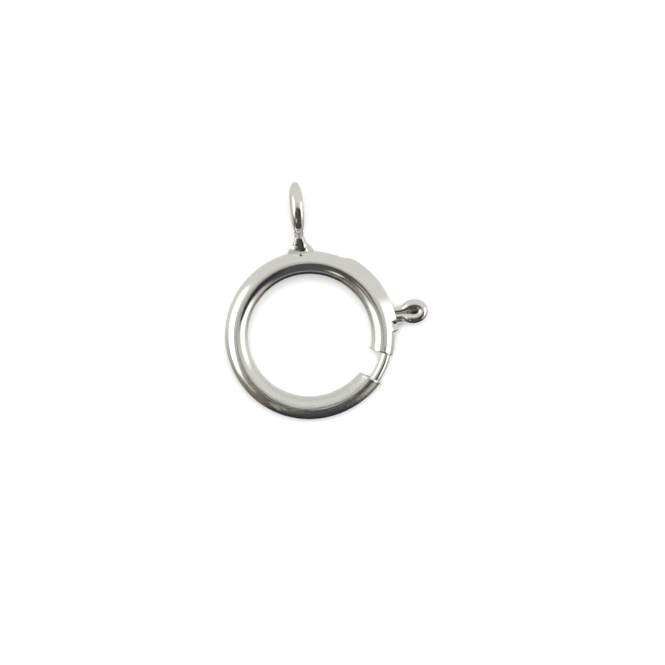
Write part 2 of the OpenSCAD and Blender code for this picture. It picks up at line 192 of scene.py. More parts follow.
class Layout:
    """Sizes in millimetres and degrees that follow from the driving ones, worked out as in the solids."""

    def __init__(self):
        r = bpy.context.scene.clasp_ring
        m = bpy.context.scene.clasp_moving
        self.ring_r = r.ring_r
        self.outer_r = r.ring_r + r.tube_r
        self.bore_r = r.tube_r - r.wall
        self.gap_low = r.gap_top - r.gap_span
        self.gap_mid = r.gap_top - r.gap_span / 2
        self.bolt_out = m.bolt_out
        self.bolt_centre = polar(m.bolt_out, self.gap_mid)
        self.bolt_tip = self.gap_low - m.bolt_entry
        self.neck_dir = m.trigger_a + m.neck_lean
        self.neck_foot = polar(self.outer_r, m.trigger_a)
        self.neck_half = m.strand_pitch / 2 + m.strand_r
        side = self.neck_half + r.slot_clear
        radii = np.array([self.outer_r + r.lip_out, r.ring_r + 0.9 * self.bore_r])
        open_foot = self.bolt_centre + turn_z(TRAVEL) @ (self.neck_foot - self.bolt_centre)
        self.slot_start = line_angle(self.neck_foot, self.neck_dir, -side, radii).min()
        self.slot_end = line_angle(open_foot, self.neck_dir + TRAVEL, side, radii).max()
        self.slot_half = m.strand_r + r.slot_clear_z
        self.lip_start = self.slot_start - r.lip_lead
        self.lip_end = self.slot_end + r.lip_tail
        self.bolt_limit = r.ring_r + self.bore_r - m.bolt_clear - m.bolt_r
        apart = math.cos(math.radians(self.slot_end - self.gap_mid))
        self.bolt_arc_r = math.sqrt(
            self.bolt_limit ** 2 + m.bolt_out ** 2 - 2 * self.bolt_limit * m.bolt_out * apart)
        neck_r = self.bolt_line_r(m.trigger_a)
        heel = line_angle(self.neck_foot, self.neck_dir, self.neck_half + m.leg_clear, neck_r)
        self.bolt_heel = heel + math.degrees(m.heel_l / neck_r)
        self.top_run = r.top_run
        self.low_run = r.low_run + 360
        self.top_wider = self.wider_by(self.bolt_line_r(self.slot_start), r.top_run - self.slot_start)
        self.low_wider = self.wider_by(self.bolt_line_r(self.bolt_tip), self.bolt_tip - r.low_run)
        self.coil_r = self.bore_r - m.coil_clear - m.wire_r
        end = math.degrees((m.coil_end + m.wire_r) / r.ring_r)
        self.coil_start = self.bolt_heel + end
        self.coil_end = r.seat_a - end
        self.eye_y = self.outer_r + r.lug_reach + r.eye_shift

    def bolt_line_r(self, at):
        """Distance of the bolt's arc from the ring's centre at an angle, by the sine rule."""
        off = math.radians(at - self.gap_mid)
        across = self.bolt_out * math.sin(off)
        return self.bolt_out * math.cos(off) + math.sqrt(self.bolt_arc_r ** 2 - across ** 2)

    def bolt_angle(self, at):
        """Angle about the bolt's own centre of the point that lies at an angle about the ring's."""
        point = polar(self.bolt_line_r(at), at - self.gap_mid) - np.array([self.bolt_out, 0, 0])
        return self.gap_mid + math.degrees(math.atan2(point[1], point[0]))

    def wider_by(self, bolt_r, apart):
        """How much wider than the circle an arc is that leaves it and clears the bolt an angle further on."""
        r = self.ring_r + bolt_r - self.bolt_limit
        return (r * r - self.ring_r ** 2) / (2 * (self.ring_r - r * math.cos(math.radians(apart))))

    def tube_line_r(self, at):
        """Distance of the tube's line from the ring's centre at angles from the upper cut round to the lower:
        the circle, and two wider arcs that leave it smoothly before the gap."""
        wider = np.where(at < self.top_run, self.top_wider, np.where(at > self.low_run, self.low_wider, 0.0))
        past = np.radians(np.where(at < self.top_run, at - self.top_run, at - self.low_run))
        across = wider * np.sin(past)
        return np.sqrt((self.ring_r + wider) ** 2 - across ** 2) - wider * np.cos(past)


# Shapes by formula

def smooth(x):
    """Smooth step from 0 to 1 as x goes from 0 to 1, by 3x^2 - 2x^3."""
    x = np.clip(x, 0.0, 1.0)
    return x * x * (3 - 2 * x)


def bell(x, middle, spread):
    """Bell of height 1 at the middle, exp(-((x - middle) / spread)^2)."""
    return np.exp(-((x - middle) / spread) ** 2)


def polar(radius, degrees, height=0.0):
    """Points at a radius and an angle about the ring's centre."""
    turn = np.radians(degrees)
    radius, turn, height = np.broadcast_arrays(radius, turn, height)
    return np.stack([radius * np.cos(turn), radius * np.sin(turn), height], axis=-1)


def turn_z(degrees):
    """Turn about +Z."""
    return np.array(Matrix.Rotation(math.radians(degrees), 3, "Z"))


def line_angle(foot, direction, off, radius):
    """Angle at which a line beside another, off to its counter-clockwise side, crosses a circle: the
    direction plus the arc sine of the line's distance from the centre over the radius."""
    along = math.radians(direction)
    distance = math.cos(along) * foot[1] - math.sin(along) * foot[0] + off
    return direction + np.degrees(np.arcsin(distance / radius))


def unit(vectors):
    """The same directions with length one."""
    return vectors / np.linalg.norm(vectors, axis=-1, keepdims=True)


def wire_grid(path, up, radius, sides):
    """Round skin on a path: point (i, k) is path + radius * (cos * side + sin * up), where side is the path's
    direction crossed with up and the angle is 2 pi k / sides."""
    along = unit(np.gradient(path, axis=0))
    side = unit(np.cross(along, np.broadcast_to(up, path.shape)))
    true_up = np.cross(side, along)
    k = np.linspace(0, 2 * np.pi, sides, endpoint=False)
    ring = np.cos(k)[None, :, None] * side[:, None] + np.sin(k)[None, :, None] * true_up[:, None]
    return path[:, None] + np.asarray(radius)[:, None, None] * ring


def rounded_ends(path, radius, steps=8, depth=1.0):
    """Adds a round end to both ends of a path: rows at depth * radius * sin(b) past it, whose own radius is
    radius * cos(b)."""
    b = np.linspace(0, np.pi / 2, steps + 1)[1:]
    first = unit(path[0] - path[1])
    last = unit(path[-1] - path[-2])
    head = path[0] + depth * radius[0] * np.sin(b)[::-1, None] * first
    tail = path[-1] + depth * radius[-1] * np.sin(b)[:, None] * last
    path = np.concatenate([head, path, tail])
    return path, np.concatenate([radius[0] * np.cos(b)[::-1], radius, radius[-1] * np.cos(b)])


def closed_ends(grid):
    """The grid with a row at both ends that lies wholly in the middle of the end row, to close it."""
    first = np.broadcast_to(grid[0].mean(axis=0), grid[0].shape)
    last = np.broadcast_to(grid[-1].mean(axis=0), grid[-1].shape)
    return np.concatenate([first[None], grid, last[None]])


def neck_place(points, lay):
    """Points of the neck's frame, +X along the neck from the tube's outside, in the flat layout."""
    return points @ turn_z(lay.neck_dir).T + lay.neck_foot


def ring_centre():
    """Place of the ring's centre in the frame, in metres."""
    return HINGE - RESTING_TURN @ Layout().bolt_centre * MM


def place(points):
    """Points of the flat layout, in millimetres, as places in the frame, in metres."""
    return points @ RESTING_TURN.T * MM + ring_centre()


def steps_between(stops, counts):
    """Values that run through the stops, with a count of even steps between each two."""
    runs = [np.linspace(a, b, n, endpoint=False) for a, b, n in zip(stops[:-1], stops[1:], counts)]
    return np.concatenate(runs + [stops[-1:]])


# Objects and materials

def distances(points, axis):
    """Mean distance run along one axis of a grid, from its first line to each next one and round again."""
    gaps = np.linalg.norm(np.roll(points, -1, axis=axis) - points, axis=-1)
    return np.concatenate([[0.0], np.cumsum(gaps.mean(axis=1 - axis))])


def new_piece(name, points, material, body, close_rows=False, close_columns=True):
    """A mesh object of a grid of flat-layout points: quads between neighbours, welded at seams and poles,
    facing outwards and shaded smooth, that rides on a body. Its UV map holds the millimetres run along and
    around."""
    rows, columns = points.shape[:2]
    i = np.arange(rows if close_rows else rows - 1)
    j = np.arange(columns if close_columns else columns - 1)
    i, j = (a.ravel() for a in np.meshgrid(i, j, indexing="ij"))
    row = np.stack([i, i, i + 1, i + 1], axis=1)
    column = np.stack([j, j + 1, j + 1, j], axis=1)
    mesh = bpy.data.meshes.new(name)
    faces = (row % rows) * columns + column % columns
    mesh.from_pydata(place(points.reshape(-1, 3)).tolist(), [], faces.tolist())
    layer = mesh.uv_layers.new(name="surface_mm")
    run = np.stack([distances(points, 0)[row], distances(points, 1)[column]], axis=-1)
    layer.uv.foreach_set("vector", run.astype(np.float32).ravel())
    shape = bmesh.new()
    shape.from_mesh(mesh)
    bmesh.ops.remove_doubles(shape, verts=shape.verts, dist=WELD)
    bmesh.ops.recalc_face_normals(shape, faces=shape.faces)
    shape.to_mesh(mesh)
    shape.free()
    mesh.polygons.foreach_set("use_smooth", np.ones(len(mesh.polygons), bool))
    mesh.materials.append(material)
    piece = bpy.data.objects.new(name, mesh)
    bpy.context.scene.collection.objects.link(piece)
    if body:
        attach(piece, body)
    return piece


def add_node(tree, kind, values=None, **settings):
    """Adds a node: settings are its attributes, and values its inputs by name or number, each a value or a
    socket."""
    node = tree.nodes.new(kind)
    for key, value in settings.items():
        setattr(node, key, value)
    for key, value in (values or {}).items():
        if isinstance(value, bpy.types.NodeSocket):
            tree.links.new(value, node.inputs[key])
        else:
            node.inputs[key].default_value = value
    return node


# How many times as long as wide a drawing line is
LINE_LENGTH = 30
# Where the end far from the lug begins and is full, along Y in metres
FAR_END = (-0.0055, -0.0115)
# Where the side that the buffing wheel doesn't reach begins and is full, in millimetres round the tube
INNER_SIDE = (2.1, 2.8)


def metal(name, tint, roughness, wave_mm, wave_depth, line_mm, line_depth,
          wear=0.0, far_wear=0.0, far_depth=0.0, inner_wear=0.0):
    """Metal with a slow waviness left by polishing by hand, and fine lines that run along the piece.

    wave_mm and line_mm are the sizes of the two patterns, and the depths are bump distances in millimetres.
    The roughness wanders with the waviness. wear adds rubbed patches in which it's higher by that much.
    far_wear raises it, and far_depth deepens the lines, towards the end far from the lug. inner_wear raises
    it on the inner side."""
    material = bpy.data.materials.get(name)
    if material:
        return material
    material = bpy.data.materials.new(name)
    material.use_nodes = True
    tree = material.node_tree
    tree.nodes.clear()
    where = add_node(tree, "ShaderNodeTexCoord").outputs["Object"]
    run = add_node(tree, "ShaderNodeUVMap", uv_map="surface_mm").outputs["UV"]
    fine = add_node(tree, "ShaderNodeMapping", {
        "Vector": run, "Scale": (1 / (LINE_LENGTH * line_mm), 1 / line_mm, 1)})
    wave = add_node(tree, "ShaderNodeTexNoise", {"Vector": where, "Scale": 1 / (wave_mm * MM), "Detail": 2.0})
    rubbed = add_node(tree, "ShaderNodeTexNoise", {
        "Vector": where, "Scale": 0.4 / (wave_mm * MM), "Detail": 5.0, "Roughness": 0.65})
    lines = add_node(tree, "ShaderNodeTexNoise", {
        "Vector": fine.outputs["Vector"], "Scale": 1.0, "Detail": 3.0, "Roughness": 0.6})
    patch = add_node(tree, "ShaderNodeMapRange", {
        "Value": rubbed.outputs["Fac"], "From Min": 0.50, "From Max": 0.66, "To Min": 0.0, "To Max": wear})
    rough = add_node(tree, "ShaderNodeMapRange", {
        "Value": wave.outputs["Fac"], "From Min": 0.3, "From Max": 0.7,
        "To Min": roughness * 0.75, "To Max": roughness * 1.3})
    height = add_node(tree, "ShaderNodeSeparateXYZ", {"Vector": where}).outputs["Y"]
    far = add_node(tree, "ShaderNodeMapRange", {
        "Value": height, "From Min": FAR_END[0], "From Max": FAR_END[1], "To Min": 0.0, "To Max": far_wear})
    depth = add_node(tree, "ShaderNodeMapRange", {
        "Value": height, "From Min": FAR_END[0], "From Max": FAR_END[1],
        "To Min": line_depth * MM, "To Max": (line_depth + far_depth) * MM})
    around = add_node(tree, "ShaderNodeSeparateXYZ", {"Vector": run}).outputs["Y"]
    inner = add_node(tree, "ShaderNodeMapRange", {
        "Value": around, "From Min": INNER_SIDE[0], "From Max": INNER_SIDE[1],
        "To Min": 0.0, "To Max": inner_wear})
    worn = add_node(tree, "ShaderNodeMath", {0: far.outputs["Result"], 1: patch.outputs["Result"]})
    dull = add_node(tree, "ShaderNodeMath", {0: worn.outputs["Value"], 1: inner.outputs["Result"]})
    total = add_node(tree, "ShaderNodeMath", {0: rough.outputs["Result"], 1: dull.outputs["Value"]})
    shade = add_node(tree, "ShaderNodeMixRGB", {
        "Fac": lines.outputs["Fac"], "Color1": (*tint, 1), "Color2": (*(c * 0.9 for c in tint), 1)})
    waved = add_node(tree, "ShaderNodeBump", {
        "Height": wave.outputs["Fac"], "Strength": 1.0, "Distance": wave_depth * MM})
    lined = add_node(tree, "ShaderNodeBump", {
        "Height": lines.outputs["Fac"], "Strength": 1.0, "Distance": depth.outputs["Result"],
        "Normal": waved.outputs["Normal"]})
    surface = add_node(tree, "ShaderNodeBsdfPrincipled", {
        "Base Color": shade.outputs["Color"], "Metallic": 1.0, "Roughness": total.outputs["Value"],
        "Normal": lined.outputs["Normal"]})
    add_node(tree, "ShaderNodeOutputMaterial", {"Surface": surface.outputs["BSDF"]})
    return material


def finish():
    """The colours of the current scene."""
    return bpy.context.scene.clasp_finish


def tube_silver():
    """Sterling silver sheet, drawn into a tube, bent and buffed: a mirror that wavers where the bending
    pulled it, with fine drawing lines along it, deeper at its far end, rubbed patches and a softer inside.
    Real drawing lines are about 0.03 mm wide. These are 0.15 mm, as coarse as they need to be to show."""
    return metal(
        "buffed_sterling_tube", tuple(finish().silver), roughness=0.07, wave_mm=1.3, wave_depth=0.006,
        line_mm=0.15, line_depth=0.0012, wear=0.06, far_wear=0.05, far_depth=0.06, inner_wear=0.14)


def wire_silver():
    """Sterling silver wire, drawn and tumbled bright: a sharper mirror, with hardly any lines."""
    return metal(
        "tumbled_sterling_wire", tuple(finish().silver), roughness=0.06, wave_mm=1.1, wave_depth=0.003,
        line_mm=0.06, line_depth=0.0003)


def cast_silver():
    """Silver stamping with solder on it, buffed only where the wheel reached: softer, with a lumpy skin."""
    return metal(
        "soldered_sterling_stamping", tuple(finish().solder), roughness=0.10, wave_mm=0.5, wave_depth=0.008,
        line_mm=0.08, line_depth=0.0008, wear=0.05)


def hollow_shade_silver():
    """Silver at the bottom of a pressed hollow, coloured dark and brownish as painted shade for that hollow,
    and dull.
    """
    return metal(
        "sterling_hollow_painted_shade", tuple(finish().hollow_shade), roughness=0.24, wave_mm=0.3, wave_depth=0.010,
        line_mm=0.06, line_depth=0.001, wear=0.1)


def spring_steel():
    """Spring steel wire as drawn: greyer and duller than the silver, with die lines along the wire."""
    return metal(
        "drawn_spring_steel", tuple(finish().steel), roughness=0.28, wave_mm=0.8, wave_depth=0.002,
        line_mm=0.03, line_depth=0.001)


# Pieces

class CLASP_OT_ring_tube(Operator):
    """Add the bent tube of silver sheet with its gap, guide slot and turned-out lips"""

    bl_idname = "clasp.ring_tube"
    bl_label = "Ring Tube"

    def execute(self, context):
        r = context.scene.clasp_ring
        lay = Layout()
        end = lay.gap_low + 360
        along = steps_between(
            np.array([r.gap_top, r.gap_top + 1.5, lay.lip_start - 1, lay.slot_start + 4, lay.slot_end - 4,
                      lay.lip_end + 2, end - 1.5, end]),
            [10, 14, 64, 34, 50, 148, 10])[:, None]
        x, z, around = self.section(r, lay, along)
        x, z, turn = self.mouths(r, along, end, x, z, around)
        points = polar(lay.tube_line_r(along) + x, along + turn, z)
        tube = new_piece("ring_tube", points, tube_silver(), "body", close_columns=False)
        sheet = tube.modifiers.new("sheet", "SOLIDIFY")
        sheet.thickness = r.wall * MM
        sheet.offset = -1.0
        edge = tube.modifiers.new("edge", "BEVEL")
        edge.width = 0.03 * MM
        edge.segments = 3
        edge.limit_method = "ANGLE"
        edge.angle_limit = math.radians(50)
        edge.use_clamp_overlap = True
        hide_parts("ring_body")
        self.rim("upper_mouth_rim", r, lay, r.gap_top, r.top_slant, 0.005)
        self.rim("lower_mouth_rim", r, lay, end, r.low_slant, 0.02)
        return {"FINISHED"}

    def rim(self, name, r, lay, at, slant, proud):
        """Rounded rim of a cut: a ring of elliptical section, as thick as the sheet and a little proud
        outside, that reaches past the cut by the mouth's size."""
        around = np.linspace(0, 2 * np.pi, 120, endpoint=False)[:, None]
        b = np.linspace(0, 2 * np.pi, 20, endpoint=False)[None, :]
        away = r.tube_r + 0.5 * (proud - r.wall) + 0.5 * (proud + r.wall) * np.cos(b)
        x = away * np.cos(around)
        turn = slant * x / r.tube_r + np.degrees(r.mouth * np.sin(b) / lay.ring_r)
        points = polar(lay.tube_line_r(at) + x, at + turn, away * np.sin(around))
        new_piece(name, points, tube_silver(), "body", close_rows=True)

    def section(self, r, lay, along):
        """Section of the tube's outside at each angle: a circle of the tube's radius, from the slot's upper
        edge round the inside of the ring to its lower edge. Each lip is the quadratic curve from the lip's
        root, along the circle's tangent there, to the lip's edge, and a share between 0 and 1 blends the two.
        The slot's ends are half circles."""
        round_end = math.degrees(lay.slot_half / (lay.outer_r + r.lip_out))
        middle = (lay.slot_start + lay.slot_end) / 2
        half_span = (lay.slot_end - lay.slot_start) / 2
        inside = np.clip((half_span - np.abs(along - middle)) / round_end, 0, 1)
        opening = lay.slot_half * np.sqrt(1 - (1 - inside) ** 2)
        share = smooth((along - lay.lip_start + 0.6) / 1.4) * smooth((lay.lip_end + 1 - along) / 10)
        reach = r.lip_out * (1 + 0.26 * bell(along, lay.lip_start + 1, 1.6) - 0.22 * bell(along, 19, 10))
        edge_z = opening + r.wall * np.minimum(1, 2 * opening / lay.slot_half)
        edge_a = np.arcsin(np.clip(edge_z / r.tube_r, 0, 1))
        root_a = math.radians(r.lip_root)
        back = np.linspace(np.pi, root_a, 48, endpoint=False)
        back = np.broadcast_to(back, (len(along), len(back)))
        q = np.linspace(0, 1, 24)[None, :]
        arc = root_a + (edge_a - root_a) * q
        root = r.tube_r * np.array([math.cos(root_a), math.sin(root_a)])
        handle = root + 0.5 * np.array([math.sin(root_a), -math.cos(root_a)])
        lip_x = (1 - q) ** 2 * root[0] + 2 * q * (1 - q) * handle[0] + q * q * (r.tube_r + reach)
        lip_z = (1 - q) ** 2 * root[1] + 2 * q * (1 - q) * handle[1] + q * q * edge_z
        front_x = (1 - share) * r.tube_r * np.cos(arc) + share * lip_x
        front_z = (1 - share) * r.tube_r * np.sin(arc) + share * lip_z
        upper_x = np.concatenate([r.tube_r * np.cos(back), front_x], axis=1)
        upper_z = np.concatenate([r.tube_r * np.sin(back), front_z], axis=1)
        x = np.concatenate([upper_x[:, ::-1], upper_x[:, 1:]], axis=1)
        z = np.concatenate([upper_z[:, ::-1], -upper_z[:, 1:]], axis=1)
        return x, z, np.arctan2(z, x)

    def mouths(self, r, along, end, x, z, around):
        """Shapes both cut ends: each is cut a little aslant and has a burr, a bell-shaped tooth that runs out
        from one side of its edge."""
        from_top = along - r.gap_top
        from_end = end - along
        slant = r.top_slant * smooth(1 - from_top / 8) + r.low_slant * smooth(1 - from_end / 8)
        burr_in = r.burr * bell(np.abs(around), np.pi, 0.16) * np.clip(1 - from_top / 0.9, 0, 1) ** 2
        burr_out = r.burr * bell(around, 0.1, 0.2) * np.clip(1 - from_end / 0.9, 0, 1) ** 2
        swell = 1 + (burr_in + burr_out) / r.tube_r
        return x * swell, z * swell, slant * x / r.tube_r


class CLASP_OT_lug(Operator):
    """Add the pierced lug that is soldered to the ring"""

    bl_idname = "clasp.lug"
    bl_label = "Lug"

    # Sections of the lug: height above the tube's outside, half width, half thickness at its edges, and half
    # thickness and half width of the flat along its middle
    SECTIONS = np.array([
        (-0.55, 1.62, 0.06, 0.20, 0.02), (-0.10, 1.45, 0.06, 0.25, 0.02), (0.15, 1.31, 0.06, 0.29, 0.02),
        (0.43, 1.16, 0.06, 0.36, 0.14), (0.65, 1.00, 0.07, 0.41, 0.34), (0.80, 0.80, 0.09, 0.44, 0.48),
        (0.92, 0.70, 0.14, 0.47, 0.54), (1.05, 0.66, 0.20, 0.49, 0.50), (1.25, 0.61, 0.26, 0.53, 0.42),
        (1.48, 0.56, 0.28, 0.56, 0.36), (1.62, 0.50, 0.28, 0.44, 0.32)])

    def execute(self, context):
        lay = Layout()
        self.post(lay)
        self.eye(context.scene.clasp_ring, lay)
        return {"FINISHED"}

    def post(self, lay):
        """Post: sections stacked away from the ring, whose sizes run smoothly through the table. Each is a
        roof with a flat near its middle, whose height t / (1 + t^6)^(1/6) rises with t, the power 1.4 of the
        share of the way from an edge to the flat. A fillet of solder on the right toe rises straight towards
        the ring. The two are blended as the fourth root of the sum of their fourth powers."""
        h = np.linspace(self.SECTIONS[0, 0], self.SECTIONS[-1, 0], 110)
        knots = np.linspace(-0.06, 0.06, 7)
        half_w, edge, top, flat = (
            np.mean([np.interp(h + d, self.SECTIONS[:, 0], column) for d in knots], axis=0)[:, None]
            for column in self.SECTIONS.T[1:])
        k = np.linspace(0, 2 * np.pi, 128, endpoint=False)[None, :]
        x = half_w * np.cos(k)
        middle = -0.16
        right = 1.4 * (half_w - x) / (half_w - flat - middle)
        left = (half_w + x) / np.maximum(half_w - flat + middle, 0.08)
        t = np.clip(np.where(x > middle, right, left), 0, None) ** 1.4
        roof = edge + (top - edge) * t / (1 + t ** 6) ** (1 / 6)
        fillet = np.clip(0.42 - 0.40 * h[:, None], 0, 0.44) * smooth((x - 0.45) / 0.30)
        high = (roof ** 4 + fillet ** 4) ** 0.25
        z = high * np.sign(np.sin(k)) * np.abs(np.sin(k)) ** 0.3
        y = np.broadcast_to(lay.outer_r + h[:, None], x.shape)
        new_piece("lug_post", closed_ends(np.stack([x, y, z], axis=-1)), cast_silver(), "body")

    def eye(self, r, lay):
        """Eye: a ring of elliptical section round the hole, thickest where it meets the post."""
        a = np.linspace(0, 2 * np.pi, 96, endpoint=False)
        half_rim = 0.5 * r.eye_rim + 0.07 * np.clip(-np.sin(a), 0, 1) ** 2
        out = np.stack([np.cos(a), np.sin(a), 0 * a], axis=1)
        circle = np.array([0.0, lay.eye_y, 0.0]) + (r.eye_r + half_rim)[:, None] * out
        b = np.linspace(0, 2 * np.pi, 32, endpoint=False)
        skin = circle[:, None] + half_rim[:, None, None] * np.cos(b)[None, :, None] * out[:, None]
        skin = skin + 0.38 * np.sin(b)[None, :, None] * UP
        new_piece("lug_eye", skin, cast_silver(), "body", close_rows=True)


class CLASP_OT_stop_tongue(Operator):
    """Add the curled tongue at the slot's lower end, against which the neck stops"""

    bl_idname = "clasp.stop_tongue"
    bl_label = "Stop Tongue"

    def execute(self, context):
        r = context.scene.clasp_ring
        m = context.scene.clasp_moving
        lay = Layout()
        grid = self.gutter(r, m)
        new_piece("stop_tongue", neck_place(closed_ends(grid), lay), cast_silver(), "body")
        return {"FINISHED"}

    def gutter(self, r, m):
        """Gutter round the under side of the lower strand, in the neck's frame. Its section starts below the
        strand at s = 0 and rises outwards to s = 1 as 1.8 s^0.8, in strand radii, and its tip is round."""
        u = np.linspace(-0.35, r.tongue_out, 60)[:, None]
        left = np.clip((r.tongue_out - u) / r.tongue_out, 0, 1)
        tip = np.sqrt(1 - np.clip(1 - left / 0.4, 0, 1) ** 2)
        k = np.linspace(0, 2 * np.pi, 48, endpoint=False)[None, :]
        s = np.clip(0.45 + (0.1 + 0.45 * tip) * np.cos(k), 0, 1)
        y = -m.strand_pitch / 2 - m.strand_r * (0.3 + 2.3 * s)
        thick = r.tongue_t * (0.7 + 0.3 * left) * (0.1 + 0.9 * tip)
        z = m.strand_r * (1.8 * s ** 0.8 - 1.4) + 0.5 * thick * (np.sin(k) - 0.5)
        return np.stack(np.broadcast_arrays(u, y, z), axis=-1)


class CLASP_OT_spring_seat(Operator):
    """Add the wall across the bore that the spring pushes against"""

    bl_idname = "clasp.spring_seat"
    bl_label = "Spring Seat"

    def execute(self, context):
        r = context.scene.clasp_ring
        lay = Layout()
        span = math.degrees(r.seat_t / lay.ring_r)
        path = polar(lay.ring_r, np.linspace(r.seat_a, r.seat_a + span, 6))
        radius = np.array([0.94, 1.0, 1.0, 1.0, 1.0, 0.94]) * (lay.bore_r + 0.5 * r.wall)
        seat = closed_ends(wire_grid(path, UP, radius, 48))
        new_piece("spring_seat", seat, cast_silver(), "body")
        return {"FINISHED"}


class CLASP_OT_bolt(Operator):
    """Add the curved bolt with its tapered tip"""

    bl_idname = "clasp.bolt"
    bl_label = "Bolt"

    def execute(self, context):
        m = context.scene.clasp_moving
        lay = Layout()
        tip = lay.bolt_angle(lay.bolt_tip)
        taper = math.degrees(m.tip_l / lay.bolt_arc_r)
        turns = steps_between(np.array([tip - taper, tip, lay.bolt_angle(lay.bolt_heel)]), [8, 130])
        radius = m.bolt_r - (m.bolt_r - m.tip_r) * np.clip((tip - turns) / taper, 0, 1) ** 1.5
        path, radius = rounded_ends(polar(lay.bolt_arc_r, turns) + lay.bolt_centre, radius, depth=0.15)
        bolt = new_piece("bolt_rod", wire_grid(path, UP, radius, 56), wire_silver(), "bolt")
        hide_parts("bolt")
        return {"FINISHED"}


class CLASP_OT_trigger(Operator):
    """Add the trigger, one wire folded back on itself round a thick eye-shaped head"""

    bl_idname = "clasp.trigger"
    bl_label = "Trigger"

    def execute(self, context):
        m = context.scene.clasp_moving
        lay = Layout()
        self.wire(m, lay)
        self.dimple(m, lay)
        return {"FINISHED"}

    def wire(self, m, lay):
        """Wire: a straight leg, a cubic that parts from it, and half the head's oval crest, then the same
        mirrored. Its radius grows smoothly along the cubic from the strand's to the rim's."""
        middle = m.head_reach + m.head_crest - m.head_long
        join_a = math.radians(112)
        join = np.array([middle + m.head_long * math.cos(join_a), m.head_crest * math.sin(join_a)])
        heading = unit(np.array([m.head_long * math.sin(join_a), -m.head_crest * math.cos(join_a)]))
        start = np.array([join[0] - m.head_taper, m.strand_pitch / 2])
        t = np.linspace(0, 1, 44, endpoint=False)[:, None]
        leaving = m.head_taper * np.array([1, 0])
        joining = m.head_taper * heading
        curve = ((2 * t ** 3 - 3 * t ** 2 + 1) * start + (t ** 3 - 2 * t ** 2 + t) * leaving
                 + (3 * t ** 2 - 2 * t ** 3) * join + (t ** 3 - t ** 2) * joining)
        foot = lay.bolt_line_r(m.trigger_a) - 0.6 * m.bolt_r - lay.outer_r
        leg = np.stack([np.linspace(foot, start[0], 30, endpoint=False), np.full(30, start[1])], axis=1)
        a = np.linspace(join_a, 0, 44)
        crest = np.stack([middle + m.head_long * np.cos(a), m.head_crest * np.sin(a)], axis=1)
        half = np.concatenate([leg, curve, crest])
        grow = np.concatenate([np.zeros(len(leg)), smooth(t[:, 0]), np.ones(len(crest))])
        radius = m.strand_r + (m.head_rim - m.strand_r) * grow
        line = np.concatenate([half, half[-2::-1] * np.array([1, -1])])
        path = np.concatenate([line, np.zeros((len(line), 1))], axis=1)
        path, radius = rounded_ends(path, np.concatenate([radius, radius[-2::-1]]), depth=0.3)
        skin = neck_place(wire_grid(path, UP, radius, 48), lay)
        trigger = new_piece("trigger_wire", skin, wire_silver(), "bolt")
        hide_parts("trigger")

    def dimple(self, m, lay):
        """Dimple: a flat lens, an ellipsoid a little nearer the tube than the head's middle, that closes the
        head's hole where the wire's sides were pressed together."""
        middle = m.head_reach - 0.10
        half_long = 0.88
        half_wide = 0.66
        half_high = 0.76 * m.head_rim
        b = np.linspace(-np.pi / 2, np.pi / 2, 28)[:, None]
        c = np.linspace(0, 2 * np.pi, 64, endpoint=False)[None, :]
        lens = np.stack([
            middle + half_long * np.cos(b) * np.cos(c), half_wide * np.cos(b) * np.sin(c),
            half_high * np.sin(b) + 0 * c], axis=-1)
        # The lens is coloured with painted shade, dark and brownish, for the shade in the head's hollow
        new_piece("trigger_dimple", neck_place(lens, lay), hollow_shade_silver(), "bolt")


class CLASP_OT_spring(Operator):
    """Add the coil spring as it stands with the bolt closed"""

    bl_idname = "clasp.spring"
    bl_label = "Spring"

    def execute(self, context):
        m = context.scene.clasp_moving
        lay = Layout()
        t = np.linspace(0, 1, m.turns * 28 + 1)
        turn = 2 * np.pi * m.turns * t
        at = lay.coil_start + (lay.coil_end - lay.coil_start) * t
        core = polar(lay.tube_line_r(at), at)
        path = polar(lay.tube_line_r(at) + lay.coil_r * np.cos(turn), at, lay.coil_r * np.sin(turn))
        inward = unit(core - path)
        path, radius = rounded_ends(path, np.full(len(path), m.wire_r), steps=3)
        inward = np.concatenate([np.repeat(inward[:1], 3, axis=0), inward, np.repeat(inward[-1:], 3, axis=0)])
        coil = new_piece("spring_coil", wire_grid(path, inward, radius, 10), spring_steel(), None)
        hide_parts("spring")
        ends = place(core[[-1, 0]])
        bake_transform(coil)
        return {"FINISHED"}


